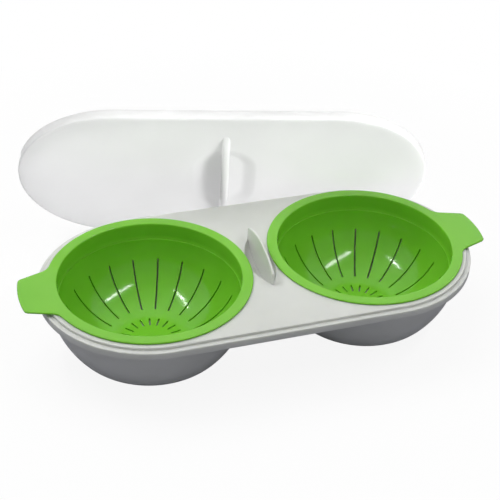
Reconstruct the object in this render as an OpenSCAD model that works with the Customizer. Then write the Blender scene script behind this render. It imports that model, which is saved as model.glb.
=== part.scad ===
// Microwave egg cooker: a white tray with two bowls, a green strainer cup in each bowl,
// and a frosted lid that leans forward on the tray's back edge.
// Units are millimetres, the table is at z = 0 and the tray's long side runs along x.

/* [Tray] */

// distance between the middles of the two cups
cup_pitch = 123; // [118:1:136]
// wall of the tray
tray_wall = 1.6; // [1.2:0.1:2]
// height of the deck's top above the table
deck_top = 45.6; // [42:0.2:49]
// width of the deck outside a cup's flange
deck_margin = 2.2; // [1.4:0.2:5]
// drop from the deck to the ledge that carries the lid
step_drop = 1.6; // [1.2:0.2:3]
// width of the ledge
ledge_w = 2.5; // [2:0.1:5]
// height of the skirt that hangs from the ledge
skirt_h = 4.4; // [3:0.2:9]
// room between a cup's wall and the bowl round it
cup_room = 2.3; // [1.6:0.1:2.6]
// length of the bowl's straight wall below the deck
bowl_straight = 3; // [1:0.5:6]
// radius of the bowl's rounding into its foot
bowl_corner_r = 22; // [14:1:26]

/* [Grip of the tray] */

// length of the upright fin
fin_len = 45; // [34:1:52]
// thickness of the fin
fin_t = 1.4; // [1.2:0.1:2]
// height of the fin above the deck at its ends
fin_end_h = 7; // [4:0.5:9]
// height of the fin above the deck at its middle
fin_mid_h = 13; // [10:0.5:14]
// length of the finger hollow that the fin divides
hollow_len = 44; // [32:1:50]
// part of the wall by which the hollow keeps clear of the bowls
hollow_gap = 0.1; // [0:0.05:0.6]

/* [Cups] */

// wall of a cup
cup_wall = 1.4; // [1:0.1:2]
// radius of a cup's mouth
mouth_r = 49.1; // [46:0.1:52]
// width of the flat flange round the mouth
flange_w = 5.9; // [5:0.1:7]
// thickness of the flange and the handle
flange_t = 1.2; // [1:0.1:2]
// depth of the mouth's straight wall
mouth_depth = 10.5; // [8:0.5:13]
// step between the straight wall and the strainer's curve
mouth_step = 0.45; // [0.2:0.05:0.9]
// radius of the strainer's curve, seen from the side
curve_r = 34.8; // [30:0.2:37]
// room between a cup's floor and the tray's floor
floor_gap = 0.3; // [0.2:0.1:3]

/* [Slots] */

// number of long slots in a cup, and of short slots in its floor
slots = 20; // [10:1:24]
// width of a slot
slot_w = 1; // [0.6:0.1:1.4]
// angle below the level at which a long slot starts
slot_top_a = 22.7; // [16:0.1:30]
// angle below the level at which a long slot ends
slot_end_a = 73.1; // [60:0.1:76]
// distance of a short slot's inner end from the cup's axis
star_in_r = 11.5; // [9:0.5:13]
// length of a short slot
star_len = 6; // [3:0.5:8]

/* [Handles] */

// reach of a handle from its flange's edge
handle_reach = 14.5; // [8:0.5:24]
// half of a handle's width near its tip
handle_half = 14.5; // [9:0.5:17]
// distance from the tip at which that width is taken
handle_tip_in = 3.5; // [2.5:0.5:6]
// angle by which a handle's side widens towards its flange
handle_taper = 18.4; // [6:0.2:22]
// radius of a handle's bowed end
handle_end_r = 60; // [40:1:90]
// radius of the corners of that end
handle_corner_r = 3; // [1.5:0.5:5]
// radius of the fillet between handle and flange
handle_fillet = 8; // [4:0.5:12]

/* [Lid] */

// thickness of the lid's plate and its lip
lid_t = 1.2; // [1:0.1:1.6]
// height of the closed lid above the ledge
lid_h = 6; // [5.4:0.1:9]
// room between the lid's lip and the deck's edge
lid_room = 0.4; // [0.2:0.1:0.6]
// room left for a handle in the lip's notch
notch_room = 0.8; // [0.4:0.1:2]
// room left for the fin in the lid's hollow web
web_room = 0.4; // [0.2:0.1:1]
// wall of the web
web_wall = 0.8; // [0.6:0.1:1.6]
// length of the web
web_len = 84; // [66:1:96]
// half of the width of the sunk pan beside the web
pan_half_w = 19; // [14:0.5:22]
// half of the length of the pan
pan_half_len = 30; // [26:0.5:34]
// slope of the pan's side, from the level
pan_slope = 32; // [20:1:45]
// wall of the pan
pan_wall = 1; // [0.8:0.1:1.2]
// room between the pan and the flanges under it
pan_room = 0.3; // [0.1:0.1:0.8]

/* [Lid at rest] */

// lean of the lid from the upright, forward over the tray
lid_lean = 24; // [18:0.5:32]
// turn of the lid about the upright, right end forward
lid_turn = 14.3; // [4:0.1:20]
// shift of the lid along its length, to the left
lid_shift = 17.7; // [0:0.1:30]
// room between the lid's face and the tray's edge that carries it
lean_gap = 0.1; // [0:0.05:0.5]

/* [Hidden] */

$fn = 96;
over = 1;
bite = 0.05;
half_pitch = cup_pitch / 2;
flange_r = mouth_r + flange_w;
flange_top = deck_top + flange_t;
cup_out_r = mouth_r + cup_wall;
cup_floor = tray_wall + floor_gap + cup_wall;
curve_z = cup_floor + curve_r;
wall_z = flange_top - mouth_depth;
curve_x = mouth_r - mouth_step - sqrt(curve_r * curve_r - pow(curve_z - wall_z, 2));
slot_step = 360 / slots;
star_turn = slot_step / 2;
slot_reach = curve_r + 2 * cup_wall;

deck_r = flange_r + deck_margin;
ledge_r = deck_r + ledge_w;
ledge_top = deck_top - step_drop;
bowl_in_r = cup_out_r + cup_room;
bowl_out_r = bowl_in_r + tray_wall;
bowl_z = deck_top - tray_wall - bowl_straight;
bowl_corner_x = sqrt(pow(bowl_out_r - bowl_corner_r, 2) - pow(bowl_z - bowl_corner_r, 2));
hollow_r = half_pitch - bowl_in_r - tray_wall - hollow_gap;
hollow_arc_r = (pow(hollow_len / 2, 2) + hollow_r * hollow_r) / (2 * hollow_r);
fin_rise = fin_mid_h - fin_end_h;
fin_arc_r = (pow(fin_len / 2, 2) + fin_rise * fin_rise) / (2 * fin_rise);

handle_tip = flange_r + handle_reach;
side_n = [sin(handle_taper), cos(handle_taper)];
side_d = [cos(handle_taper), -sin(handle_taper)];
side_c = side_n * [handle_tip - handle_tip_in, handle_half];
side_root = side_n * side_c + side_d * sqrt(pow(flange_r - flange_w / 2, 2) - side_c * side_c);
fillet_reach = flange_r + handle_fillet - bite;
fillet_off = side_c + handle_fillet - bite;
fillet_at = side_n * fillet_off + side_d * sqrt(fillet_reach * fillet_reach - fillet_off * fillet_off);
fillet_side = fillet_at - side_n * (handle_fillet + over);
fillet_round = fillet_at * (flange_r - flange_w / 2) / fillet_reach;
end_at = [handle_tip - handle_end_r, 0];
corner_h = side_c - handle_corner_r - side_n * end_at;
corner_reach = handle_end_r - handle_corner_r;
corner_at = end_at + side_n * corner_h + side_d * sqrt(corner_reach * corner_reach - corner_h * corner_h);
corner_side = corner_at + side_n * handle_corner_r;
corner_end = end_at + (corner_at - end_at) * handle_end_r / corner_reach;
corner_cut = 2 * corner_end - corner_side;

lid_r = deck_r + lid_room + lid_t;
face_z = ledge_top + lid_h;
fin_top = deck_top + fin_mid_h - face_z;
web_t = fin_t + 2 * web_room + 2 * web_wall;
web_h = fin_top + web_room + web_wall;
web_arc_r = (pow(web_len / 2, 2) + web_h * web_h) / (2 * web_h);
pan_low = flange_top + pan_room - face_z;
pan_floor = pan_low + pan_wall;
pan_side = pan_wall / sin(pan_slope);
notch_half = fillet_at[1] - handle_fillet * side_n[1] + notch_room;
notch_top = flange_top + notch_room / 2 - face_z;

rest_p = 90 + lid_lean;
rest_z = lid_r * sin(rest_p);
rest_n = [-sin(lid_turn) * sin(rest_p), -cos(lid_turn) * sin(rest_p), cos(rest_p)];
rest_key = rest_n[0] * half_pitch - ledge_r * sin(rest_p) + rest_n[2] * ledge_top - lean_gap;
rest_off = (cos(rest_p) * rest_z - rest_key) / sin(rest_p);
rest_x = sin(lid_turn) * rest_off - cos(lid_turn) * lid_shift;
rest_y = cos(lid_turn) * rest_off + sin(lid_turn) * lid_shift;
rest_back = half_pitch * sin(lid_turn)
    + lid_r * sqrt(pow(sin(lid_turn), 2) + pow(cos(lid_turn) * cos(rest_p), 2))
    + lid_h * cos(lid_turn) * sin(rest_p);
mid_y = (rest_y + rest_back - ledge_r) / 2;

// the long shape with two round ends that deck, ledge, skirt and lid share
module long_round(r) {
    square([cup_pitch, 2 * r], center = true);
    for (side = [-1, 1])
        translate([side * half_pitch, 0])
            circle(r);
}

module long_slab(r, low, high) {
    translate([0, 0, low])
        linear_extrude(high - low)
            long_round(r);
}

module long_ring(r_out, r_in, low, high) {
    translate([0, 0, low])
        linear_extrude(high - low)
            difference() {
                long_round(r_out);
                long_round(r_in);
            }
}

// half of the bowl's section: a ball, a straight wall above it and a rounded foot
module bowl_half(inset) {
    ball_r = bowl_out_r - inset;
    wedge = bowl_z / (bowl_z - bowl_corner_r);
    intersection() {
        translate([0, inset])
            square([ball_r, deck_top - tray_wall - inset]);
        union() {
            translate([0, bowl_z])
                square([ball_r, deck_top]);
            translate([bowl_corner_x, bowl_corner_r])
                circle(bowl_corner_r - inset);
            difference() {
                translate([0, bowl_z])
                    circle(ball_r);
                polygon([
                    [bowl_corner_x, bowl_corner_r],
                    [bowl_corner_x * (1 + wedge), bowl_corner_r - wedge * (bowl_z - bowl_corner_r)],
                    [bowl_corner_x, bowl_corner_r - wedge * (bowl_z - bowl_corner_r)]
                ]);
            }
        }
    }
}

module bowl_form(inset) {
    rotate_extrude()
        bowl_half(inset);
}

// a long boat form, round about the y axis, with pointed ends
module boat(grow) {
    arc_r = hollow_arc_r + grow;
    shift = hollow_arc_r - hollow_r;
    rotate([90, 0, 0])
        rotate_extrude()
            intersection() {
                translate([-shift, 0])
                    circle(arc_r);
                translate([0, -hollow_len])
                    square([hollow_len, 2 * hollow_len]);
            }
}

module fin_side(grow) {
    intersection() {
        translate([0, deck_top + fin_mid_h - fin_arc_r])
            circle(fin_arc_r + grow);
        translate([-fin_len / 2 - grow, 0])
            square([fin_len + 2 * grow, deck_top * 2]);
    }
}

module upright(t) {
    rotate([90, 0, 90])
        linear_extrude(t, center = true)
            children();
}

module fin() {
    intersection() {
        upright(fin_t)
            fin_side(0);
        union() {
            translate([0, 0, deck_top])
                boat(tray_wall / 2);
            long_slab(deck_r, deck_top - tray_wall / 2, deck_top + fin_mid_h + over);
        }
    }
}

module tray_form() {
    difference() {
        union() {
            long_slab(deck_r, deck_top - tray_wall, deck_top);
            long_ring(ledge_r, deck_r - tray_wall, ledge_top - tray_wall, ledge_top);
            long_ring(deck_r, deck_r - tray_wall, ledge_top - tray_wall, deck_top);
            long_ring(ledge_r, ledge_r - tray_wall, ledge_top - skirt_h, ledge_top);
            for (side = [-1, 1])
                translate([side * half_pitch, 0, 0])
                    bowl_form(0);
            intersection() {
                translate([0, 0, deck_top])
                    boat(tray_wall);
                long_slab(deck_r, 0, deck_top);
            }
        }
        for (side = [-1, 1])
            translate([side * half_pitch, 0, 0]) {
                bowl_form(tray_wall);
                translate([0, 0, deck_top - tray_wall])
                    cylinder(r = bowl_in_r, h = tray_wall + over);
            }
        translate([0, 0, deck_top])
            boat(0);
    }
    fin();
}

// moves the whole set so that its middle is at y = 0
module centred() {
    translate([0, -mid_y, 0])
        children();
}

module tray() {
    color("white")
        centred()
            tray_form();
}

// the handle's sides and bowed end, without its fillets
module tongue_outline() {
    intersection() {
        translate(end_at)
            circle(handle_end_r);
        polygon([
            [0, 0],
            side_root,
            corner_side,
            corner_cut,
            [handle_tip + handle_reach, 0],
            [corner_cut[0], -corner_cut[1]],
            [corner_side[0], -corner_side[1]],
            [side_root[0], -side_root[1]]
        ]);
    }
    for (side = [-1, 1])
        translate([corner_at[0], side * corner_at[1]])
            circle(handle_corner_r - bite / 2);
}

// flange and handle seen from above, handle towards +x
module flange_outline() {
    circle(flange_r);
    tongue_outline();
    for (flip = [0, 1])
        mirror([0, flip])
            difference() {
                polygon([[0, 0], fillet_side, fillet_at, fillet_round]);
                translate(fillet_at)
                    circle(handle_fillet);
            }
}

module cup_outside() {
    rotate_extrude()
        union() {
            intersection() {
                translate([curve_x, curve_z])
                    circle(curve_r + cup_wall);
                translate([curve_x, 0])
                    square([cup_out_r - curve_x, wall_z]);
            }
            translate([0, cup_floor - cup_wall])
                square([curve_x, wall_z - cup_floor + cup_wall]);
            translate([0, wall_z - cup_wall])
                square([cup_out_r, mouth_depth + cup_wall - flange_t / 2]);
        }
}

module cup_inside() {
    rotate_extrude()
        union() {
            intersection() {
                translate([curve_x, curve_z])
                    circle(curve_r);
                translate([curve_x, 0])
                    square([mouth_r - mouth_step - curve_x, wall_z + over]);
            }
            translate([0, cup_floor])
                square([curve_x, wall_z - cup_floor + over]);
            translate([0, wall_z])
                square([mouth_r, mouth_depth + over]);
        }
}

// blade that cuts a long slot, a sector about the middle of the strainer's curve
module long_blade() {
    rotate([90, 0, 0])
        linear_extrude(slot_w, center = true)
            polygon([
                [curve_x, curve_z],
                [curve_x + slot_reach * cos(slot_top_a), curve_z - slot_reach * sin(slot_top_a)],
                [curve_x + slot_reach * cos(slot_end_a), curve_z - slot_reach * sin(slot_end_a)]
            ]);
}

module star_blade() {
    translate([star_in_r, -slot_w / 2, 0])
        cube([star_len, slot_w, cup_floor * 2]);
}

// a cup with its flange and handle in one moulding, handle towards +x
module cup() {
    difference() {
        union() {
            cup_outside();
            translate([0, 0, deck_top])
                linear_extrude(flange_t)
                    flange_outline();
        }
        cup_inside();
        for (i = [0 : slots - 1]) {
            rotate(slot_step * i)
                long_blade();
            rotate(slot_step * i + star_turn)
                star_blade();
        }
    }
}

module right_cup() {
    color("limegreen")
        centred()
            translate([half_pitch, 0, 0])
                cup();
}

module left_cup() {
    color("limegreen")
        centred()
            translate([-half_pitch, 0, 0])
                rotate(180)
                    cup();
}

// sloped pan between two levels of the lid, grow is added all round
module pan(grow, low, high) {
    run = 1 / tan(pan_slope);
    r_high = pan_half_w + grow + high * run;
    r_low = pan_half_w + grow + low * run;
    reach = pan_half_len - pan_half_w;
    for (side = [-1, 1])
        translate([0, side * reach, low])
            cylinder(r1 = r_low, r2 = r_high, h = high - low);
    rotate([90, 0, 0])
        linear_extrude(2 * reach, center = true)
            polygon([[-r_low, low], [r_low, low], [r_high, high], [-r_high, high]]);
}

module web() {
    upright(web_t)
        intersection() {
            translate([0, web_h - web_arc_r])
                circle(web_arc_r);
            translate([-web_len, pan_low])
                square([2 * web_len, web_h * 2]);
        }
}

// the lid with its outer face at z = 0 and its lip downward
module lid_form() {
    difference() {
        union() {
            long_slab(lid_r, -lid_t, 0);
            long_ring(lid_r, lid_r - lid_t, -lid_h, 0);
            pan(pan_side, pan_low, -lid_t / 2);
            web();
        }
        difference() {
            pan(0, pan_floor, over);
            web();
        }
        translate([0, 0, -face_z])
            upright(fin_t + 2 * web_room)
                intersection() {
                    fin_side(web_room);
                    translate([-fin_len, face_z - lid_h])
                        square([2 * fin_len, 2 * lid_h + web_h]);
                }
        for (side = [-1, 1])
            translate([side * (half_pitch + lid_r), 0, (notch_top - lid_h - over) / 2])
                cube([lid_r, 2 * notch_half, notch_top + lid_h + over], center = true);
    }
}

module lid() {
    color("whitesmoke")
        centred()
            translate([rest_x, rest_y, rest_z])
                rotate(-lid_turn)
                    rotate([rest_p, 0, 0])
                        lid_form();
}

tray();
left_cup();
right_cup();
lid();
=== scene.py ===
"""A microwave egg cooker: a white tray, two green strainer cups and a frosted lid that leans on the tray.

Lengths are metres. The tray's long side runs along x, the lid stands behind it, and the table is at z = 0.
"""

import math

import bmesh
import bpy
import numpy as np
from mathutils import Matrix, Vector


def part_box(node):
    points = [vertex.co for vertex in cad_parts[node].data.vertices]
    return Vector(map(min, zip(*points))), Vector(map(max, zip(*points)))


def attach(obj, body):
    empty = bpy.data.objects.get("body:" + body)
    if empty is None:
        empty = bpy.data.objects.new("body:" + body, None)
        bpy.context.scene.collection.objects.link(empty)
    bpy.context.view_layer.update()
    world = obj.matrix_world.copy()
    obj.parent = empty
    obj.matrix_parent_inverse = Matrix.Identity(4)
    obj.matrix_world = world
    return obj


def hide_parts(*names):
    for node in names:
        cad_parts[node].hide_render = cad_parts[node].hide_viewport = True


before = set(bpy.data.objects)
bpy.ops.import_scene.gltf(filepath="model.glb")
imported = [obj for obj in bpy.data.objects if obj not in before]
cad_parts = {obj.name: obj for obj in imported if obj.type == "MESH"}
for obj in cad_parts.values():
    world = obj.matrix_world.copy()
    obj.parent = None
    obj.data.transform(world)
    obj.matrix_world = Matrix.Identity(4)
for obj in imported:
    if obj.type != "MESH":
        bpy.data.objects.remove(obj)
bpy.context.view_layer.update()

# Tray
# The white tray is one injection moulding of polypropylene: a flat deck with two round ends, a step down to
# a ledge that carries the lid, a thin skirt below it, two bowls for the water, and an upright fin between
# two finger hollows in the middle. The wall is 1.6 mm everywhere, and edges are broken by the mould.

MM = 0.001
tray_low, tray_high = (np.array(v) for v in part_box("tray"))
MID_Y = (tray_low[1] + tray_high[1]) / 2
HALF_PITCH = 61.5 * MM
WALL = 1.6 * MM
DECK_Z = 45.6 * MM
DECK_R = 57.2 * MM
LEDGE_Z = DECK_Z - 1.6 * MM
LEDGE_R = DECK_R + 2.5 * MM
SKIRT_Z = LEDGE_Z - 4.4 * MM
DECK_EDGE = 0.5 * MM
STEP_EDGE = 0.3 * MM
LEDGE_EDGE = 0.45 * MM
SKIRT_EDGE = 0.4 * MM
BOWL_R = 54.4 * MM
BOWL_Z = DECK_Z - WALL - 3.0 * MM
BOWL_CORNER = 22.0 * MM
CORNER_X = math.sqrt((BOWL_R - BOWL_CORNER) ** 2 - (BOWL_Z - BOWL_CORNER) ** 2)
HOLLOW_HALF = 22.0 * MM
HOLLOW_R = 7.0 * MM
HOLLOW_EDGE = 0.9 * MM
HOLLOW_ARC = (HOLLOW_HALF**2 + HOLLOW_R**2) / (2 * HOLLOW_R)
FIN_HALF = 22.5 * MM
FIN_T = 1.4 * MM
FIN_TOP = DECK_Z + 13.0 * MM
FIN_RISE = 6.0 * MM
FIN_ARC = (FIN_HALF**2 + FIN_RISE**2) / (2 * FIN_RISE)


def quads(rows, cols, closed=False):
    """Corner numbers of the four-sided faces of a grid of rows by cols points, its last column joined to its
    first where closed."""
    i, j = np.meshgrid(np.arange(rows - 1), np.arange(cols if closed else cols - 1), indexing="ij")
    k = (j + 1) % cols
    corners = [i * cols + j, i * cols + k, (i + 1) * cols + k, (i + 1) * cols + j]
    return np.stack(corners, axis=-1).reshape(-1, 4)


def surface(name, sheets, sharp=35.0):
    """One smooth object from sheets of (points, faces): near points are joined, folded faces are dropped,
    normals are turned out, and an edge of more than sharp degrees stays crisp."""
    points = np.concatenate([p.reshape(-1, 3) for p, f in sheets])
    starts = np.cumsum([0] + [p.size // 3 for p, f in sheets[:-1]])
    faces = np.concatenate([f + s for (p, f), s in zip(sheets, starts)])
    mesh = bpy.data.meshes.new(name)
    mesh.vertices.add(len(points))
    mesh.vertices.foreach_set("co", points.ravel())
    mesh.loops.add(faces.size)
    mesh.loops.foreach_set("vertex_index", faces.ravel())
    mesh.polygons.add(len(faces))
    mesh.polygons.foreach_set("loop_start", np.arange(len(faces)) * 4)
    mesh.update(calc_edges=True)
    shell = bmesh.new()
    shell.from_mesh(mesh)
    bmesh.ops.remove_doubles(shell, verts=shell.verts, dist=0.002 * MM)
    bmesh.ops.dissolve_degenerate(shell, edges=shell.edges, dist=0.0001 * MM)
    bmesh.ops.recalc_face_normals(shell, faces=shell.faces)
    shell.to_mesh(mesh)
    shell.free()
    mesh.polygons.foreach_set("use_smooth", np.ones(len(mesh.polygons), bool))
    mesh.set_sharp_from_angle(angle=math.radians(sharp))
    made = bpy.data.objects.new(name, mesh)
    bpy.context.scene.collection.objects.link(made)
    return made


def arc(centre, radius, start, end, count):
    """Points of a circle's arc in a section plane, angles in degrees from the first axis."""
    a = np.radians(np.linspace(start, end, count))
    return np.stack([centre[0] + radius * np.cos(a), centre[1] + radius * np.sin(a)], axis=-1)


def hollow_half_width(y, grow=0.0):
    """Radius of the boat-shaped hollow at y: a circle's arc turned about the y axis."""
    return np.sqrt(np.maximum((HOLLOW_ARC + grow) ** 2 - y**2, 0)) - (HOLLOW_ARC - HOLLOW_R)


def round_end_path(count_side, ends):
    """Right half of the long outline, from x = 0 along one side, round the end through the angles in ends,
    and back to x = 0. It gives points on the middle line and outward normals, so that an outline is the
    points plus its radius times the normals."""
    x = np.linspace(0, HALF_PITCH, count_side)
    foot = np.concatenate([
        np.stack([x, 0 * x], axis=-1),
        np.tile([HALF_PITCH, 0.0], (len(ends) - 2, 1)),
        np.stack([x[::-1], 0 * x], axis=-1),
    ])
    normal = np.concatenate([
        np.tile([0.0, 1.0], (count_side, 1)),
        np.stack([np.cos(ends), np.sin(ends)], axis=-1)[1:-1],
        np.tile([0.0, -1.0], (count_side, 1)),
    ])
    return foot, normal


def mirrored(sheets):
    """The sheets and their copies on the other side of x = 0."""
    flip = np.array([-1.0, 1.0, 1.0])
    return sheets + [(p * flip, f) for p, f in sheets]


def tray_half():
    """Sheets of the tray's right half: the deck from the bowl's mouth to the rim, the rim's profile carried
    along the outline, the hollow, the underside, and the bowl's walls as a section turned about its axis.

    Rays leave the bowl's axis and end on the outline or on the middle line, so every ring has the same
    columns.
    """
    foot, normal = round_end_path(22, np.linspace(math.pi / 2, -math.pi / 2, 120))
    grown = np.linspace(-1, 1, 90)
    middle_y = DECK_R * np.sign(grown) * (0.4 * np.abs(grown) + 0.6 * np.abs(grown) ** 2)
    middle_y = np.sort(np.concatenate([middle_y[1:-1], [-HOLLOW_HALF, HOLLOW_HALF]]))
    outline = foot + normal * DECK_R
    rim = np.minimum(HOLLOW_EDGE, 0.45 * np.maximum(hollow_half_width(middle_y), 0))
    inside = np.abs(middle_y) < HOLLOW_HALF - 1e-6
    middle_x = np.where(inside, np.maximum(hollow_half_width(middle_y), 0) + rim, 0.0)
    loop = np.concatenate([outline, np.stack([middle_x, middle_y], axis=-1)])
    count = len(outline)
    centre = np.array([HALF_PITCH, 0.0])
    ray = loop - centre
    ray /= np.linalg.norm(ray, axis=1, keepdims=True)

    def ring(radius, z):
        """A circle about the bowl's axis on the rays, at height z."""
        return np.concatenate([centre + ray * radius, np.full((len(ray), 1), z)], axis=1)

    inner_r = BOWL_R - WALL
    deck_start = ring(inner_r + DECK_EDGE, DECK_Z)
    deck_end = np.concatenate([loop, np.full((len(loop), 1), DECK_Z)], axis=1)
    deck_end[:count, :2] -= normal * DECK_EDGE
    t = np.linspace(0, 1, 7)[:, None, None]
    deck = deck_start + (deck_end - deck_start) * t
    sheets = [(deck, quads(7, len(loop), closed=True))]

    ledge = LEDGE_R - DECK_R
    profile = np.concatenate([
        arc((-DECK_EDGE, DECK_Z - DECK_EDGE), DECK_EDGE, 90, 0, 5),
        arc((STEP_EDGE, LEDGE_Z + STEP_EDGE), STEP_EDGE, 180, 270, 4),
        arc((ledge - LEDGE_EDGE, LEDGE_Z - LEDGE_EDGE), LEDGE_EDGE, 90, 0, 5),
        arc((ledge - SKIRT_EDGE, SKIRT_Z + SKIRT_EDGE), SKIRT_EDGE, 0, -90, 4),
        arc((ledge - WALL + SKIRT_EDGE, SKIRT_Z + SKIRT_EDGE), SKIRT_EDGE, 270, 180, 4),
        np.array([[ledge - WALL, LEDGE_Z - WALL], [-WALL, LEDGE_Z - WALL], [-WALL, DECK_Z - WALL]]),
    ])
    across = foot[None] + normal[None] * (DECK_R + profile[:, None, :1])
    rims = np.concatenate([across, np.broadcast_to(profile[:, None, 1:], across.shape[:2] + (1,))], axis=-1)
    sheets.append((rims, quads(len(profile), count)))

    # the hollow's rounded edge and its round floor, out to the middle line
    y = middle_y[inside]
    half = np.maximum(hollow_half_width(y), 0)
    lip = rim[inside]
    turn = np.minimum(lip / np.maximum(half, 1e-6), 0.6)
    p2 = np.stack([half * np.cos(turn), -half * np.sin(turn)], axis=-1)
    p0 = np.stack([half + lip, 0 * half], axis=-1)
    p1 = np.stack([half, 0 * half], axis=-1)
    u = np.linspace(0, 1, 6)[:, None, None]
    edge = (1 - u) ** 2 * p0 + 2 * u * (1 - u) * p1 + u**2 * p2
    a = turn + (np.pi / 2 - turn) * np.linspace(0, 1, 18)[1:, None]
    bowl = np.stack([half * np.cos(a), -half * np.sin(a)], axis=-1)
    cut = np.concatenate([edge, bowl])
    hollow = np.stack([cut[..., 0], np.broadcast_to(y, cut.shape[:2]), DECK_Z + cut[..., 1]], axis=-1)
    tips = np.array([[[0, -HOLLOW_HALF, DECK_Z]], [[0, HOLLOW_HALF, DECK_Z]]])
    tips = np.broadcast_to(tips, (2, len(cut), 3))
    hollow = np.concatenate([tips[0][:, None], hollow, tips[1][:, None]], axis=1)
    sheets.append((hollow, quads(*hollow.shape[:2])))

    # underside of the deck, which dips under the hollow
    low_middle = np.stack([0 * middle_y, middle_y * (DECK_R - WALL) / DECK_R], axis=-1)
    low_loop = np.concatenate([foot + normal * (DECK_R - WALL), low_middle])
    low_start = ring(BOWL_R, 0)[:, :2]
    t = np.linspace(0, 1, 9)[:, None, None]
    low = low_start + (low_loop - low_start) * t
    reach = np.maximum(hollow_half_width(low[..., 1], WALL), 0)
    dip = np.sqrt(np.maximum(reach**2 - low[..., 0] ** 2, 0))
    low_z = np.minimum(DECK_Z - WALL, DECK_Z - dip)
    sheets.append((np.concatenate([low, low_z[..., None]], axis=-1), quads(9, len(loop), closed=True)))

    # bowl outside and inside: straight wall, ball, rounded foot, flat foot
    tilt = math.degrees(math.atan2(CORNER_X, BOWL_Z - BOWL_CORNER)) - 90
    for inset, top in ((0.0, None), (WALL, DECK_Z)):
        ball = arc((0, BOWL_Z), BOWL_R - inset, -4, tilt, 20)
        corner = arc((CORNER_X, BOWL_CORNER), BOWL_CORNER - inset, tilt, -90, 14)[1:]
        flat = np.stack([CORNER_X * np.array([0.75, 0.5, 0.25, 0.0]), np.full(4, inset)], axis=-1)
        section = np.concatenate([ball, corner, flat])
        if top is None:
            first = [np.concatenate([low_start, low_z[0][:, None]], axis=1)]
        else:
            lead = np.concatenate([
                arc((inner_r + DECK_EDGE, DECK_Z - DECK_EDGE), DECK_EDGE, 90, 180, 5),
                np.array([[inner_r, BOWL_Z]]),
            ])
            first = [ring(r, z) for r, z in lead]
        rows = np.stack(first + [ring(max(r, 0), z) for r, z in section])
        sheets.append((rows, quads(len(rows), len(loop), closed=True)))
    return sheets


def fin_blade():
    """The upright fin: a thin closed blade along y, its top an arc, its edges and both ends rounded.

    Half its thickness shrinks along y at the ends by a circle's rule, and its top turns through 180 degrees.
    """
    soft = 0.65 * MM
    near_end = np.linspace(0.97, 1, 6)
    s = np.concatenate([-near_end[:0:-1], np.linspace(-0.97, 0.97, 60), near_end[1:]])
    y = s * FIN_HALF
    end = np.clip((np.abs(y) - (FIN_HALF - soft)) / soft, 0, 1)
    half = FIN_T / 2 * np.sqrt(1 - end**2)
    top = FIN_TOP - FIN_ARC + np.sqrt(FIN_ARC**2 - y**2) - 0.5 * MM * (1 - np.sqrt(1 - end**2))
    bottom = DECK_Z - np.maximum(hollow_half_width(y), 0) - 0.5 * MM
    a = np.radians(np.linspace(0, 180, 9))[:, None]
    cap_x = half * np.cos(a)
    cap_z = top - FIN_T / 2 + FIN_T / 2 * np.sin(a)
    low_x = np.stack([-half, half])
    low_z = np.stack([bottom, bottom])
    x = np.concatenate([cap_x, low_x])
    z = np.concatenate([cap_z, low_z])
    blade = np.stack([x, np.broadcast_to(y, x.shape), z], axis=-1)
    return [(blade.transpose(1, 0, 2), quads(len(y), len(x), closed=True))]


def placed(sheets, shift):
    """The sheets moved by a shift."""
    return [(p + np.array(shift), f) for p, f in sheets]


tray = surface("tray_moulding", placed(mirrored(tray_half()) + fin_blade(), (0, MID_Y, 0)))


def linear(code):
    """An sRGB hex colour as linear red, green, blue and alpha one."""
    srgb = np.array([int(code[i : i + 2], 16) for i in (1, 3, 5)]) / 255
    return tuple(np.where(srgb <= 0.04045, srgb / 12.92, ((srgb + 0.055) / 1.055) ** 2.4)) + (1.0,)


def add(tree, kind, settings=None, **links):
    """Adds a shader node, gives it its settings, which are properties or values of inputs, and links the
    inputs that are given as another node's output socket."""
    made = tree.nodes.new(kind)
    for key, value in (settings or {}).items():
        if key in made.inputs:
            made.inputs[key].default_value = value
        else:
            setattr(made, key, value)
    for key, socket in links.items():
        tree.links.new(socket, made.inputs[key.replace("_", " ")])
    return made


def new_material(name):
    """An empty material and its tree, with a Principled surface on the output."""
    made = bpy.data.materials.new(name)
    made.use_nodes = True
    tree = made.node_tree
    tree.nodes.clear()
    skin = tree.nodes.new("ShaderNodeBsdfPrincipled")
    out = tree.nodes.new("ShaderNodeOutputMaterial")
    tree.links.new(skin.outputs["BSDF"], out.inputs["Surface"])
    return made, tree, skin


# Moulded white polypropylene, satin: broad soft highlights, a trace of orange peel from the mould at about
# 2 mm, and a slightly greyer tone here and there where the wall is thicker.
white_pp, tree, skin = new_material("moulded_white_polypropylene")
skin.inputs["Roughness"].default_value = 0.34
skin.inputs["IOR"].default_value = 1.49
skin.inputs["Specular IOR Level"].default_value = 0.45
skin.inputs["Subsurface Weight"].default_value = 0.8
skin.inputs["Subsurface Radius"].default_value = (1.0, 1.0, 0.9)
skin.inputs["Subsurface Scale"].default_value = 2.5 * MM
place = add(tree, "ShaderNodeTexCoord")
cloud_form = {"Scale": 1 / (30 * MM), "Detail": 3.0, "Roughness": 0.5}
cloud = add(tree, "ShaderNodeTexNoise", cloud_form, Vector=place.outputs["Object"])
tone = add(tree, "ShaderNodeValToRGB", Fac=cloud.outputs["Fac"])
tone.color_ramp.elements[0].position = 0.3
tone.color_ramp.elements[0].color = linear("#cfd1cc")
tone.color_ramp.elements[1].position = 0.7
tone.color_ramp.elements[1].color = linear("#d6d8d3")
tree.links.new(tone.outputs["Color"], skin.inputs["Base Color"])
peel_form = {"Scale": 1 / (2 * MM), "Detail": 2.0}
peel = add(tree, "ShaderNodeTexNoise", peel_form, Vector=place.outputs["Object"])
relief = add(tree, "ShaderNodeBump", {"Strength": 0.06, "Distance": 0.2 * MM}, Height=peel.outputs["Fac"])
tree.links.new(relief.outputs["Normal"], skin.inputs["Normal"])

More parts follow.
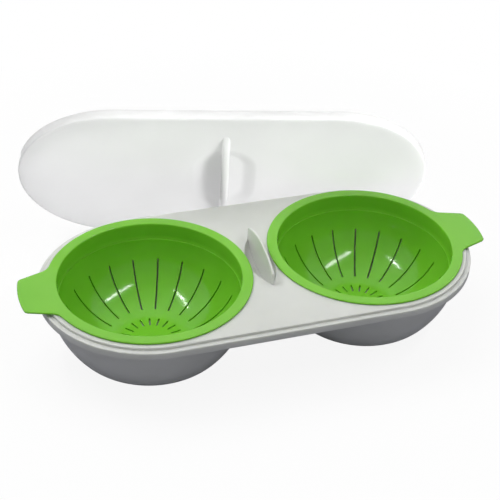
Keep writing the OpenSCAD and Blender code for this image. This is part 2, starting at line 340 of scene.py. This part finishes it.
tray.data.materials.append(white_pp)
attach(tray, "root")
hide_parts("tray")

# Cups
# Each cup is one moulding of glossy leaf-green polypropylene: a flange with a handle, a straight wall, and a
# round strainer with long slots down its side and short slots in a star on its floor. It hangs by its flange
# on the deck, and its floor stays just above the bowl's.

CUP_WALL = 1.4 * MM
MOUTH_R = 49.1 * MM
FLANGE_R = MOUTH_R + 5.9 * MM
FLANGE_T = 1.2 * MM
FLANGE_Z = DECK_Z + FLANGE_T
MOUTH_EDGE = 0.7 * MM
FLANGE_EDGE = 0.5 * MM
UNDER_EDGE = 0.4 * MM
CURVE_R = 34.8 * MM
CUP_FLOOR = WALL + 0.3 * MM + CUP_WALL
CURVE_Z = CUP_FLOOR + CURVE_R
STEP_Z = FLANGE_Z - 10.5 * MM
STEP = 0.45 * MM
CURVE_X = MOUTH_R - STEP - math.sqrt(CURVE_R**2 - (CURVE_Z - STEP_Z) ** 2)
SLOTS = 20
SLOT_W = 1.0 * MM
LONG_TOP, LONG_END = 22.7, 73.1
STAR_IN, STAR_OUT = 11.5 * MM, 17.5 * MM
HANDLE_TIP = FLANGE_R + 14.5 * MM
HANDLE_TAPER = math.radians(18.4)
HANDLE_CORNER = 3.0 * MM
HANDLE_FILLET = 8.0 * MM
HANDLE_END_R = 60.0 * MM
side_n = np.array([math.sin(HANDLE_TAPER), math.cos(HANDLE_TAPER)])
side_d = np.array([math.cos(HANDLE_TAPER), -math.sin(HANDLE_TAPER)])
side_c = side_n @ np.array([HANDLE_TIP - 3.5 * MM, 14.5 * MM])


def circle_along(direction, centre, radius, far):
    """Distance from the origin along each direction to a circle, its far or its near side."""
    along = direction @ centre
    root = np.sqrt(np.maximum(along**2 - centre @ centre + radius**2, 0))
    return along + root if far else along - root


def flange_reach(angle):
    """Distance from the cup's axis to the flange's edge at each angle: the flange's circle, and then the
    handle's fillets, straight sides, round corners and bowed end, each between its own angles."""
    direction = np.stack([np.cos(angle), np.abs(np.sin(angle))], axis=-1)
    size = np.abs(np.arctan2(np.sin(angle), np.cos(angle)))
    end_at = np.array([HANDLE_TIP - HANDLE_END_R, 0.0])
    high = side_c - HANDLE_CORNER - side_n @ end_at
    corner = end_at + side_n * high + side_d * math.sqrt((HANDLE_END_R - HANDLE_CORNER) ** 2 - high**2)
    corner_end = end_at + (corner - end_at) * HANDLE_END_R / (HANDLE_END_R - HANDLE_CORNER)
    corner_side = corner + side_n * HANDLE_CORNER
    fillet = side_n * (side_c + HANDLE_FILLET)
    fillet = fillet + side_d * math.sqrt((FLANGE_R + HANDLE_FILLET) ** 2 - (side_c + HANDLE_FILLET) ** 2)
    fillet_side = fillet - side_n * HANDLE_FILLET
    angles = [math.atan2(p[1], p[0]) for p in (corner_end, corner_side, fillet_side, fillet)]
    pieces = [
        circle_along(direction, end_at, HANDLE_END_R, True),
        circle_along(direction, corner, HANDLE_CORNER, True),
        side_c / (direction @ side_n),
        circle_along(direction, fillet, HANDLE_FILLET, False),
        np.full(angle.shape, FLANGE_R),
    ]
    return np.choose(np.searchsorted(angles, size), pieces)


def cup_sheets():
    """Sheets of a cup with its handle towards +x: a profile turned about the axis, with its slots left open
    and walled.

    Rows follow the strainer's section. Columns stand at fixed places in each slot's share of the circle and
    keep to the slot's edges, which are a fixed width apart and so a changing angle.
    """
    share = 2 * np.pi / SLOTS
    between = 9

    def columns(radius):
        """Column angles of one share at each radius, from one star slot's middle to the next."""
        long_half = np.arcsin(SLOT_W / 2 / np.maximum(radius, 22 * MM))
        star_half = np.arcsin(SLOT_W / 2 / np.maximum(radius, 9 * MM))
        run = np.linspace(0, 1, between + 1)[1:-1]
        left = -share / 2 + star_half[:, None]
        gap = -long_half[:, None] - left
        one = np.concatenate([
            np.full((len(radius), 1), -share / 2),
            left - star_half[:, None] / 2,
            left,
            left + gap * run,
            -long_half[:, None],
            -long_half[:, None] / 2,
        ], axis=1)
        full = np.concatenate([one, np.zeros((len(radius), 1)), -one[:, :0:-1]], axis=1)
        turn = np.arange(SLOTS) * share
        return (full[:, None, :] + turn[None, :, None]).reshape(len(radius), -1)

    half_one = 3 + (between - 1) + 2
    per_share = 2 * half_one
    offsets = np.arange(per_share)
    long_u = np.clip(np.abs(offsets - half_one) / 2, 0, 1)
    star_u = np.clip(np.minimum(offsets, per_share - offsets) / 2, 0, 1)
    long_u, star_u = np.tile(long_u, SLOTS), np.tile(star_u, SLOTS)

    def along(q):
        """Strainer section at q degrees below the level: an arc, and past 90 degrees the flat floor."""
        a = np.radians(np.minimum(q, 90))
        flat = np.radians(np.maximum(q - 90, 0)) * CURVE_R
        return CURVE_X + CURVE_R * np.cos(a) - flat, a

    def q_at(radius):
        """The place q at which the section has this radius."""
        gap = radius - CURVE_X
        return 90 - math.degrees(gap / CURVE_R) if gap < 0 else math.degrees(math.acos(gap / CURVE_R))

    # rows of the section by their q, and the rows between which the two kinds of slot lie
    top_q = math.degrees(math.asin((CURVE_Z - STEP_Z) / CURVE_R))
    star_low, star_high = q_at(STAR_IN), q_at(STAR_OUT)
    marks = [q_at(0.0), 107, 101, 96.5, star_low, 91.5, 89, 86.5, star_high, 82, 79.5, 77, 75, LONG_END]
    marks += list(np.linspace(LONG_END, LONG_TOP, 16)[1:]) + [20.5, 17.5, 14, 10, 6, top_q]
    q = np.array(marks, float)
    rows_star = (4, 8)
    rows_long = (13, 28)
    tip = math.degrees(SLOT_W / 2 / CURVE_R)
    q = np.repeat(q[:, None], per_share * SLOTS, axis=1)
    q[rows_star[0]] -= tip * (1 - np.sqrt(1 - star_u**2))
    q[rows_star[1]] += tip * (1 - np.sqrt(1 - star_u**2))
    q[rows_long[0]] -= tip * (1 - np.sqrt(1 - long_u**2))
    q[rows_long[1]] += tip * (1 - np.sqrt(1 - long_u**2))
    r, a = along(q)
    angle = columns(r.mean(axis=1))
    flat = q > 90
    z = np.where(flat, CUP_FLOOR, CURVE_Z - CURVE_R * np.sin(a))
    r_low = np.where(flat, r, CURVE_X + (CURVE_R + CUP_WALL) * np.cos(a))
    z_low = np.where(flat, CUP_FLOOR - CUP_WALL, CURVE_Z - (CURVE_R + CUP_WALL) * np.sin(a))

    def turned(radius, angles, height):
        """Points at these radii and angles about the cup's axis, at these heights."""
        return np.stack([radius * np.cos(angles), radius * np.sin(angles), height], axis=-1)

    inside = turned(np.maximum(r, 0), angle, z)
    outside = turned(np.maximum(r_low, 0), angle, z_low)
    cols = per_share * SLOTS

    keep = np.ones((len(marks) - 1, cols), bool)
    in_long = (long_u < 1) | (np.roll(long_u, -1) < 1)
    in_star = (star_u < 1) | (np.roll(star_u, -1) < 1)
    keep[rows_long[0] : rows_long[1]] &= ~in_long
    keep[rows_star[0] : rows_star[1]] &= ~in_star
    cells = quads(len(marks), cols, closed=True)[keep.ravel()]
    sheets = [(inside, cells), (outside, cells)]

    # walls of the slots, between the same edges of the inside and the outside
    both = np.stack([inside, outside])
    number = np.arange(len(marks) * cols).reshape(len(marks), cols)
    walls = []
    for (low, high), inner in ((rows_long, in_long), (rows_star, in_star)):
        left = np.flatnonzero(inner & ~np.roll(inner, 1))
        right = np.flatnonzero(~inner & np.roll(inner, 1))
        for edge in (left, right):
            start, stop = number[low:high][:, edge], number[low + 1 : high + 1][:, edge]
            walls.append(np.stack([start, stop], axis=-1).reshape(-1, 2))
        across = np.flatnonzero(inner)
        for row in (low, high):
            walls.append(np.stack([number[row, across], number[row, (across + 1) % cols]], axis=-1))
    start, stop = np.concatenate(walls).T
    count = len(marks) * cols
    sheets.append((both, np.stack([start, stop, stop + count, start + count], axis=-1)))

    # the step, the straight wall and the rounded mouth, then the flange out to its edge and back under it
    mouth = columns(np.array([MOUTH_R]))[0]
    reach = flange_reach(mouth)
    fine = 1e-4
    slope = (flange_reach(mouth + fine) - flange_reach(mouth - fine)) / (2 * fine)
    out = np.stack([np.cos(mouth), np.sin(mouth)], axis=-1)
    turn_left = np.stack([-np.sin(mouth), np.cos(mouth)], axis=-1)
    edge_at = out * reach[:, None]
    tangent = out * slope[:, None] + turn_left * reach[:, None]
    edge_n = np.stack([tangent[:, 1], -tangent[:, 0]], axis=-1)
    edge_n /= np.linalg.norm(edge_n, axis=1, keepdims=True)

    def level(plan, height):
        """Points over the places of a plan, all at one height."""
        return np.concatenate([plan, np.full((cols, 1), height)], axis=1)

    rows = [inside[-1]]
    for radius, height in (
        (MOUTH_R - STEP + 0.12 * MM, STEP_Z),
        (MOUTH_R - 0.1 * MM, STEP_Z),
        (MOUTH_R, STEP_Z + 0.12 * MM),
        (MOUTH_R, STEP_Z + 3 * MM),
        (MOUTH_R, STEP_Z + 6 * MM),
        *arc((MOUTH_R + MOUTH_EDGE, FLANGE_Z - MOUTH_EDGE), MOUTH_EDGE, 180, 90, 6),
    ):
        rows.append(level(out * radius, height))
    top_start = out * (MOUTH_R + MOUTH_EDGE)
    top_end = edge_at - edge_n * FLANGE_EDGE
    for t in (0.25, 0.5, 0.75):
        rows.append(level(top_start + (top_end - top_start) * t, FLANGE_Z))
    for side, height in arc((-FLANGE_EDGE, FLANGE_Z - FLANGE_EDGE), FLANGE_EDGE, 90, -90, 9):
        height = FLANGE_Z - (FLANGE_Z - height) * FLANGE_T / (2 * FLANGE_EDGE)
        rows.append(level(edge_at + edge_n * side, height))
    outer = MOUTH_R + CUP_WALL
    under_end = out * (outer + UNDER_EDGE)
    for t in (0.4, 0.8):
        rows.append(level(top_end + (under_end - top_end) * t, DECK_Z))
    for radius, height in (
        *arc((outer + UNDER_EDGE, DECK_Z - UNDER_EDGE), UNDER_EDGE, 90, 180, 4),
        (outer, STEP_Z + 4 * MM),
        (outer, STEP_Z + 0.3 * MM),
        (outer - 0.15 * MM, STEP_Z + 0.05 * MM),
    ):
        rows.append(level(out * radius, height))
    rows.append(outside[-1])
    sheets.append((np.stack(rows), quads(len(rows), cols, closed=True)))
    return sheets


cup_form = cup_sheets()
half_turn = [(p * np.array([-1.0, -1.0, 1.0]), f) for p, f in cup_form]
right_cup = surface("right_strainer_cup", placed(cup_form, (HALF_PITCH, MID_Y, 0)), sharp=50)
left_cup = surface("left_strainer_cup", placed(half_turn, (-HALF_PITCH, MID_Y, 0)), sharp=50)

# Moulded green polypropylene with a polished tool's gloss: crisp reflections, a slightly milky body that
# lets light through the 1.4 mm wall, faint flow clouds some 25 mm across, and a ripple of 6 mm in the gloss.
green_pp, tree, skin = new_material("moulded_green_polypropylene")
skin.inputs["Roughness"].default_value = 0.13
skin.inputs["IOR"].default_value = 1.49
skin.inputs["Specular IOR Level"].default_value = 0.5
skin.inputs["Subsurface Weight"].default_value = 0.25
skin.inputs["Subsurface Radius"].default_value = (0.6, 1.0, 0.2)
skin.inputs["Subsurface Scale"].default_value = 3 * MM
place = add(tree, "ShaderNodeTexCoord")
cloud_form = {"Scale": 1 / (25 * MM), "Detail": 2.0, "Roughness": 0.5}
cloud = add(tree, "ShaderNodeTexNoise", cloud_form, Vector=place.outputs["Object"])
tone = add(tree, "ShaderNodeValToRGB", Fac=cloud.outputs["Fac"])
tone.color_ramp.elements[0].position = 0.3
tone.color_ramp.elements[0].color = linear("#74bd2e")
tone.color_ramp.elements[1].position = 0.7
tone.color_ramp.elements[1].color = linear("#7ac234")
tree.links.new(tone.outputs["Color"], skin.inputs["Base Color"])
ripple_form = {"Scale": 1 / (6 * MM), "Detail": 1.0}
ripple = add(tree, "ShaderNodeTexNoise", ripple_form, Vector=place.outputs["Object"])
relief = add(tree, "ShaderNodeBump", {"Strength": 0.05, "Distance": 0.3 * MM}, Height=ripple.outputs["Fac"])
tree.links.new(relief.outputs["Normal"], skin.inputs["Normal"])

for cup, node in ((left_cup, "left_cup"), (right_cup, "right_cup")):
    cup.data.materials.append(green_pp)
    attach(cup, "root")
    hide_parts(node)

# Lid
# The lid is a thin sheet of frosted, milky polypropylene with the tray's outline. A narrow lip is turned
# down round its edge and notched for the handles, and a hollow web across a sunk pan goes over the tray's
# fin. Here it stands on its long edge and leans on the back of the tray.

LID_T = 1.2 * MM
LID_H = 6.0 * MM
PLAY = 0.4 * MM
LID_R = DECK_R + PLAY + LID_T
FACE_Z = LEDGE_Z + LID_H
PAN_HALF_W, PAN_HALF_LEN = 19.0 * MM, 30.0 * MM
PAN_GAP, PAN_T = 0.3 * MM, 1.0 * MM
PAN_DEPTH = FACE_Z - (FLANGE_Z + PAN_GAP + PAN_T)
PAN_BULGE = FACE_Z - (FLANGE_Z + PAN_GAP) - LID_T
PAN_RUN = 9.0 * MM
WEB_HALF = 42.0 * MM
WEB_WALL = 0.8 * MM
WEB_T = FIN_T + 2 * PLAY + 2 * WEB_WALL
WEB_H = FIN_TOP + PLAY + WEB_WALL - FACE_Z
WEB_TAPER = 4 * MM
WEB_ROOT, WEB_CROWN = 0.8 * MM, 1.1 * MM
WEB_ARC = (WEB_HALF**2 + WEB_H**2) / (2 * WEB_H)
SLOT_HALF_LEN = FIN_HALF + PLAY
SLOT_HALF = FIN_T / 2 + PLAY
NOTCH_HALF = 19.0 * MM
NOTCH_Z = -(FACE_Z - FLANGE_Z - PLAY)
FACE_EDGE, INNER_EDGE, LIP_EDGE = 0.9 * MM, 0.6 * MM, 0.4 * MM
BESIDE = 4 * MM
LEAN, TURN, SHIFT, GAP = math.radians(24), math.radians(14.3), 17.7 * MM, 0.1 * MM


def smooth(t):
    """Smooth step from 0 to 1 with level ends."""
    t = np.clip(t, 0, 1)
    return t * t * (3 - 2 * t)


def pan_inside(x, y, grow=0.0):
    """Distance inside the pan's outline, a long shape with round ends along y."""
    reach = PAN_HALF_LEN - PAN_HALF_W
    return PAN_HALF_W + grow - np.hypot(x, y - np.clip(y, -reach, reach))


def face_height(x, y):
    """Outer face: level, and sunk smoothly inside the pan's outline."""
    return -PAN_DEPTH * smooth(pan_inside(x, y) / PAN_RUN)


def under_height(x, y):
    """Inner face: level, and bulged where the pan is."""
    return -LID_T - PAN_BULGE * smooth(pan_inside(x, y, 1.9 * MM) / PAN_RUN)


def lid_half():
    """Sheets of the lid's right half in its own frame, with its outer face at z = 0: the web and the slot as
    sections along y, the two faces on rays from the end's middle, and the lip's profile along the outline.

    The rays stop on a line beside the middle and go on from there to the web or the slot, because they would
    fold over the round ends of both.
    """
    notch = math.asin(NOTCH_HALF / LID_R)
    step = 0.0006  # two columns this close, in radians, make an upright side of a notch
    ends = np.linspace(math.pi / 2, -math.pi / 2, 110)
    ends = np.sort(np.concatenate([ends, [notch - step, notch + step, -notch - step, -notch + step]]))[::-1]
    foot, normal = round_end_path(26, ends)
    outline = foot + normal * LID_R

    even = np.linspace(-1, 1, 130)
    web_y = WEB_HALF * np.sin(even * math.pi / 2)
    end = np.clip((np.abs(web_y) - (WEB_HALF - WEB_TAPER)) / WEB_TAPER, 0, 1)
    web_w = WEB_T / 2 * np.sqrt(np.maximum(1 - end**2, 0))
    arch = WEB_H - WEB_ARC + np.sqrt(WEB_ARC**2 - web_y**2)
    base = face_height(0 * web_y + WEB_T / 2, web_y)
    rise = np.maximum(arch - base, 0)
    root = np.minimum(WEB_ROOT, 0.35 * rise) * np.sqrt(np.maximum(1 - end**2, 0))
    crown = np.minimum(WEB_CROWN, 0.6 * rise)

    a = np.radians(np.linspace(0, 90, 5))[:, None]
    root_x, root_z = web_w + root * (1 - np.sin(a)), root * (1 - np.cos(a))
    side = np.linspace(0, 1, 5)[1:-1, None]
    side_x, side_z = web_w + 0 * side, root + (rise - crown - root) * side
    a = np.radians(np.linspace(0, 90, 7))[:, None]
    crown_x, crown_z = web_w * np.cos(a), rise - crown + crown * np.sin(a)
    cut_x = np.concatenate([root_x, side_x, crown_x])
    cut_z = np.concatenate([root_z, side_z, crown_z])
    start_z = face_height(web_w + root, web_y)
    share = np.clip(cut_z / np.maximum(rise, 1e-9), 0, 1)
    cut_z = start_z + cut_z + (base - start_z) * share
    web = np.stack([cut_x, np.broadcast_to(web_y, cut_x.shape), cut_z], axis=-1)
    sheets = [(web, quads(*web.shape[:2]))]

    slot_y = SLOT_HALF_LEN * np.sin(np.linspace(-1, 1, 80) * math.pi / 2)
    slot_end = np.clip((np.abs(slot_y) - (SLOT_HALF_LEN - SLOT_HALF)) / SLOT_HALF, 0, 1)
    slot_w = SLOT_HALF * np.sqrt(np.maximum(1 - slot_end**2, 0))
    roof = FIN_TOP - FACE_Z - FIN_ARC + np.sqrt((FIN_ARC + PLAY) ** 2 - slot_y**2)
    rows = [(slot_w, under_height(slot_w, slot_y))]
    rows += [(slot_w, roof - 0.4 * MM), (slot_w * 0.8, roof - 0.1 * MM), (0 * slot_w, roof)]
    slot = np.stack([np.stack([w, slot_y, h], axis=-1) for w, h in rows])
    sheets.append((slot, quads(*slot.shape[:2])))

    def beyond(half, end):
        """Middle-line places past a feature's end, out to the outline."""
        return np.linspace(half, end, 22)[1:-1]

    t = np.concatenate([[0, 0.22, 0.42, 0.56], np.linspace(0.62, 1, 44)])[:, None, None]
    profile = np.concatenate([
        arc((-FACE_EDGE, -FACE_EDGE), FACE_EDGE, 90, 0, 6),
        np.array([[0, -2.2 * MM]]),
    ])
    pole = np.array([HALF_PITCH, 0.0])
    level = np.linspace(0, 1, 5)[1:, None, None]
    for y, w, half, height, edge in (
        (web_y, web_w + root, WEB_HALF, face_height, FACE_EDGE),
        (slot_y, slot_w, SLOT_HALF_LEN, under_height, LID_T + INNER_EDGE),
    ):
        far = beyond(half, LID_R - edge)
        line = np.concatenate([
            np.stack([0 * far, -far[::-1]], axis=-1),
            np.stack([w, y], axis=-1),
            np.stack([0 * far, far], axis=-1),
        ])
        loop = np.concatenate([outline - normal * edge, line])
        beside = loop.copy()
        room = np.clip((LID_R - edge - np.abs(line[:, 1])) / (2 * BESIDE), 0, 1)
        beside[len(outline) :, 0] = BESIDE * room
        flat = np.concatenate([pole + (beside - pole) * t, beside + (loop - beside) * level])
        sheet = np.concatenate([flat, height(flat[..., 0], flat[..., 1])[..., None]], axis=-1)
        sheets.append((sheet, quads(len(flat), len(loop), closed=True)))

    low = np.where((np.abs(outline[:, 1]) < NOTCH_HALF) & (foot[:, 0] > HALF_PITCH - MM), NOTCH_Z, -LID_H)
    plain = 0 * low
    nick = 0.3 * LIP_EDGE
    lip = [(off, plain + z) for off, z in profile]
    lip += [(0, low + LIP_EDGE), (-nick, low + nick), (-LIP_EDGE, low)]
    lip += [(LIP_EDGE - LID_T, low), (nick - LID_T, low + nick), (-LID_T, low + LIP_EDGE)]
    nick = LID_T + 0.3 * INNER_EDGE
    lip += [(-LID_T, plain - LID_T - INNER_EDGE), (-nick, plain - nick), (-LID_T - INNER_EDGE, plain - LID_T)]
    across = np.stack([np.concatenate([foot + normal * (LID_R + off), z[:, None]], axis=1) for off, z in lip])
    sheets.append((across, quads(len(lip), len(outline))))
    return sheets


def lid_rest(sheets):
    """The lid's sheets where it rests: turned upright and forward by LEAN, then by TURN about the upright,
    with its long edge on the table and its face GAP from the tray's ledge at the right end."""
    tilt = math.pi / 2 + LEAN
    sin_t, cos_t, sin_p, cos_p = math.sin(TURN), math.cos(TURN), math.sin(tilt), math.cos(tilt)
    spin = np.array([[cos_t, sin_t, 0], [-sin_t, cos_t, 0], [0, 0, 1]])
    turned = spin @ np.array([[1, 0, 0], [0, cos_p, -sin_p], [0, sin_p, cos_p]])
    face = turned[:, 2]
    height = LID_R * sin_p
    ledge_end = face[0] * HALF_PITCH - LEDGE_R * sin_p + face[2] * LEDGE_Z - GAP
    off = (cos_p * height - ledge_end) / sin_p
    centre = np.array([sin_t * off - cos_t * SHIFT, cos_t * off + sin_t * SHIFT + MID_Y, height])
    return [(p @ turned.T + centre, f) for p, f in sheets]


lid = surface("frosted_lid", lid_rest(mirrored(lid_half())))

# Frosted polypropylene: natural, milky and half clear. The fine grain of the etched tool is drawn at 0.8 mm,
# coarser than it is, so that it shows. Light falls through the sheet and is spread, so the sheet glows evenly
# and has only a dull sheen.
frosted_pp, tree, skin = new_material("frosted_natural_polypropylene")
skin.inputs["Roughness"].default_value = 0.45
skin.inputs["IOR"].default_value = 1.49
skin.inputs["Specular IOR Level"].default_value = 0.35
place = add(tree, "ShaderNodeTexCoord")
cloud_form = {"Scale": 1 / (60 * MM), "Detail": 2.0}
cloud = add(tree, "ShaderNodeTexNoise", cloud_form, Vector=place.outputs["Object"])
tone = add(tree, "ShaderNodeValToRGB", Fac=cloud.outputs["Fac"])
tone.color_ramp.elements[0].position = 0.3
tone.color_ramp.elements[0].color = linear("#dddddd")
tone.color_ramp.elements[1].position = 0.7
tone.color_ramp.elements[1].color = linear("#e3e3e3")
tree.links.new(tone.outputs["Color"], skin.inputs["Base Color"])
grain_form = {"Scale": 1 / (0.8 * MM), "Detail": 2.0}
grain = add(tree, "ShaderNodeTexNoise", grain_form, Vector=place.outputs["Object"])
relief = add(tree, "ShaderNodeBump", {"Strength": 0.08, "Distance": 0.1 * MM}, Height=grain.outputs["Fac"])
tree.links.new(relief.outputs["Normal"], skin.inputs["Normal"])
skin.inputs["Transmission Weight"].default_value = 0.4
through = add(tree, "ShaderNodeBsdfTranslucent", Color=tone.outputs["Color"])
milk = add(tree, "ShaderNodeMixShader", {"Fac": 0.55})
tree.links.new(skin.outputs["BSDF"], milk.inputs[1])
tree.links.new(through.outputs["BSDF"], milk.inputs[2])
tree.links.new(milk.outputs["Shader"], tree.nodes["Material Output"].inputs["Surface"])

lid.data.materials.append(frosted_pp)
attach(lid, "root")
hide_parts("lid")

# Camera
# The photograph was taken from the front left, about 36 degrees above the table, with a long lens. The aim is
# the point between the cups at their flanges' height.

AZIMUTH, ELEVATION, ROLL = math.radians(-19.34), math.radians(36.08), math.radians(2.90)
DISTANCE = 593.95 * MM
FOCAL_PIXELS, IMAGE_PIXELS, SENSOR = 1086.7, 500, 36.0
CENTRE_X, CENTRE_Y = 260.35, 258.82
sin_a, cos_a, sin_e, cos_e = math.sin(AZIMUTH), math.cos(AZIMUTH), math.sin(ELEVATION), math.cos(ELEVATION)
back = np.array([sin_a * cos_e, -cos_a * cos_e, sin_e])
right = np.array([cos_a, sin_a, 0.0])
up = np.cross(back, right)
right, up = right * math.cos(ROLL) + up * math.sin(ROLL), up * math.cos(ROLL) - right * math.sin(ROLL)
lens = bpy.data.cameras.new("camera")
lens.sensor_width = SENSOR
lens.lens = SENSOR * FOCAL_PIXELS / IMAGE_PIXELS
lens.shift_x = (IMAGE_PIXELS / 2 - CENTRE_X) / IMAGE_PIXELS
lens.shift_y = (CENTRE_Y - IMAGE_PIXELS / 2) / IMAGE_PIXELS
lens.clip_start, lens.clip_end = 0.01, 20
camera = bpy.data.objects.new("camera", lens)
bpy.context.scene.collection.objects.link(camera)
aim = np.array([0, MID_Y, FLANGE_Z])
pose = np.eye(4)
pose[:3, 0], pose[:3, 1], pose[:3, 2], pose[:3, 3] = right, up, back, aim + back * DISTANCE
camera.matrix_world = Matrix(pose.tolist())
bpy.context.scene.camera = camera

# Studio
# A white table, a large soft box overhead, and two windows whose bright panes show in the gloss of the cups.
# A card from the right that lights only the lid shades the pan beside its web. The table is white to the
# camera and keeps the set's shadow, and the room is dimmer in front of the table than behind it.

TABLE_HALF = 3.0
floor_mesh = bpy.data.meshes.new("table_top")
corners = [(x * TABLE_HALF, y * TABLE_HALF, 0) for x, y in ((-1, -1), (1, -1), (1, 1), (-1, 1))]
floor_mesh.from_pydata(corners, [], [(0, 1, 2, 3)])
table = bpy.data.objects.new("table_top", floor_mesh)
bpy.context.scene.collection.objects.link(table)


def open_view(tree):
    """The light path, and a node that is 1 for rays from the camera, straight or through the frosted lid."""
    path = add(tree, "ShaderNodeLightPath")
    eye = add(tree, "ShaderNodeMath", {"operation": "MAXIMUM"})
    tree.links.new(path.outputs["Is Camera Ray"], eye.inputs[0])
    tree.links.new(path.outputs["Is Transmission Ray"], eye.inputs[1])
    return path, eye


# Matt white paper: plain white to the camera, a little less so close to the set, where the shadow stays, and
# it sends a cool grey light back to the undersides.
paper = bpy.data.materials.new("white_paper")
paper.use_nodes = True
tree = paper.node_tree
tree.nodes.clear()
path, eye = open_view(tree)
pale = add(tree, "ShaderNodeMix", {"data_type": "RGBA"}, Factor=eye.outputs["Value"])
pale.inputs[6].default_value = linear("#a2a2ac")
pale.inputs[7].default_value = linear("#f8f8f8")
sheet = add(tree, "ShaderNodeBsdfDiffuse", Color=pale.outputs[2])
glow = add(tree, "ShaderNodeEmission", {"Color": (1, 1, 1, 1), "Strength": 1.0})
place = add(tree, "ShaderNodeTexCoord")
far = add(tree, "ShaderNodeVectorMath", {"operation": "LENGTH"})
tree.links.new(place.outputs["Object"], far.inputs[0])
fade = add(tree, "ShaderNodeMapRange", {"From Min": 0.12, "From Max": 0.34, "To Min": 0.90, "To Max": 1.0})
tree.links.new(far.outputs["Value"], fade.inputs["Value"])
share = add(tree, "ShaderNodeMath", {"operation": "MULTIPLY"})
tree.links.new(eye.outputs["Value"], share.inputs[0])
tree.links.new(fade.outputs["Result"], share.inputs[1])
mix = add(tree, "ShaderNodeMixShader", Fac=share.outputs["Value"])
tree.links.new(sheet.outputs["BSDF"], mix.inputs[1])
tree.links.new(glow.outputs["Emission"], mix.inputs[2])
add(tree, "ShaderNodeOutputMaterial", Surface=mix.outputs["Shader"])
floor_mesh.materials.append(paper)


def soft_box(name, centre, aim_at, width, height, watts):
    """A rectangular lamp at a place, turned to a point."""
    lamp = bpy.data.lights.new(name, "AREA")
    lamp.shape = "RECTANGLE"
    lamp.size, lamp.size_y, lamp.energy = width, height, watts
    made = bpy.data.objects.new(name, lamp)
    away = np.array(centre, float) - np.array(aim_at, float)
    away /= np.linalg.norm(away)
    across = np.cross((0, 1, 0) if abs(away[2]) > 0.95 else (0, 0, 1), away)
    across /= np.linalg.norm(across)
    pose = np.eye(4)
    pose[:3, 0], pose[:3, 1], pose[:3, 2], pose[:3, 3] = across, np.cross(away, across), away, centre
    made.matrix_world = Matrix(pose.tolist())
    bpy.context.scene.collection.objects.link(made)
    return made


overhead = soft_box("overhead_box", (-0.35, 0.35, 1.25), (0, 0, 0), 1.0, 1.0, 7.5)
overhead.visible_glossy = False

PANE_WIDTH, PANE_RADIANCE = 14 * MM, 42


def pane(name, start, end):
    """A narrow bright pane between two places, facing the cups."""
    start, end = np.array(start), np.array(end)
    length = float(np.linalg.norm(end - start))
    watts = PANE_RADIANCE * math.pi * length * PANE_WIDTH
    made = soft_box(name, (start + end) / 2, (0, MID_Y, FLANGE_Z), length, PANE_WIDTH, watts)
    away = np.array(made.matrix_world.col[2])[:3]
    along = end - start - away * ((end - start) @ away)
    along /= np.linalg.norm(along)
    pose = np.array(made.matrix_world)
    pose[:3, 0], pose[:3, 1] = along, np.cross(away, along)
    made.matrix_world = Matrix(pose.tolist())
    made.visible_camera = False


pane("right_window", (0.267, -0.046, 0.342), (0.160, -0.320, 0.547))
pane("left_window_low", (-0.311, -0.111, 0.488), (-0.358, 0.037, 0.545))
pane("left_window_high", (-0.358, 0.037, 0.545), (-0.244, 0.138, 0.424))

card = soft_box("lid_card", (0.81, -1.21, 0.30), (0, 0.03, 0.055), 0.7, 0.7, 53)
card.visible_camera = False
card.visible_glossy = False
lid_only = bpy.data.collections.new("lid_only")
lid_only.objects.link(lid)
card.light_linking.receiver_collection = lid_only
card.light_linking.blocker_collection = lid_only

world = bpy.data.worlds.new("studio")
bpy.context.scene.world = world
world.use_nodes = True
tree = world.node_tree
tree.nodes.clear()
path, eye = open_view(tree)
room = add(tree, "ShaderNodeBackground", {"Color": (1, 1, 1, 1), "Strength": 0.26})
white = add(tree, "ShaderNodeBackground", {"Color": (1, 1, 1, 1), "Strength": 1.0})
mix = add(tree, "ShaderNodeMixShader", Fac=eye.outputs["Value"])
tree.links.new(room.outputs["Background"], mix.inputs[1])
tree.links.new(white.outputs["Background"], mix.inputs[2])

# the room as gloss shows it: white behind the table, and dimmer in front of it
sheen = add(tree, "ShaderNodeBackground", {"Color": (1, 1, 1, 1)})
toward = add(tree, "ShaderNodeSeparateXYZ", Vector=add(tree, "ShaderNodeTexCoord").outputs["Generated"])
dim = add(tree, "ShaderNodeMapRange", {"From Min": -0.5, "From Max": 0.4, "To Min": 0.3, "To Max": 1.0})
tree.links.new(toward.outputs["Y"], dim.inputs["Value"])
tree.links.new(dim.outputs["Result"], sheen.inputs["Strength"])
gloss = add(tree, "ShaderNodeMixShader", Fac=path.outputs["Is Glossy Ray"])
tree.links.new(mix.outputs["Shader"], gloss.inputs[1])
tree.links.new(sheen.outputs["Background"], gloss.inputs[2])
add(tree, "ShaderNodeOutputWorld", Surface=gloss.outputs["Shader"])

bpy.context.scene.view_settings.view_transform = "Standard"
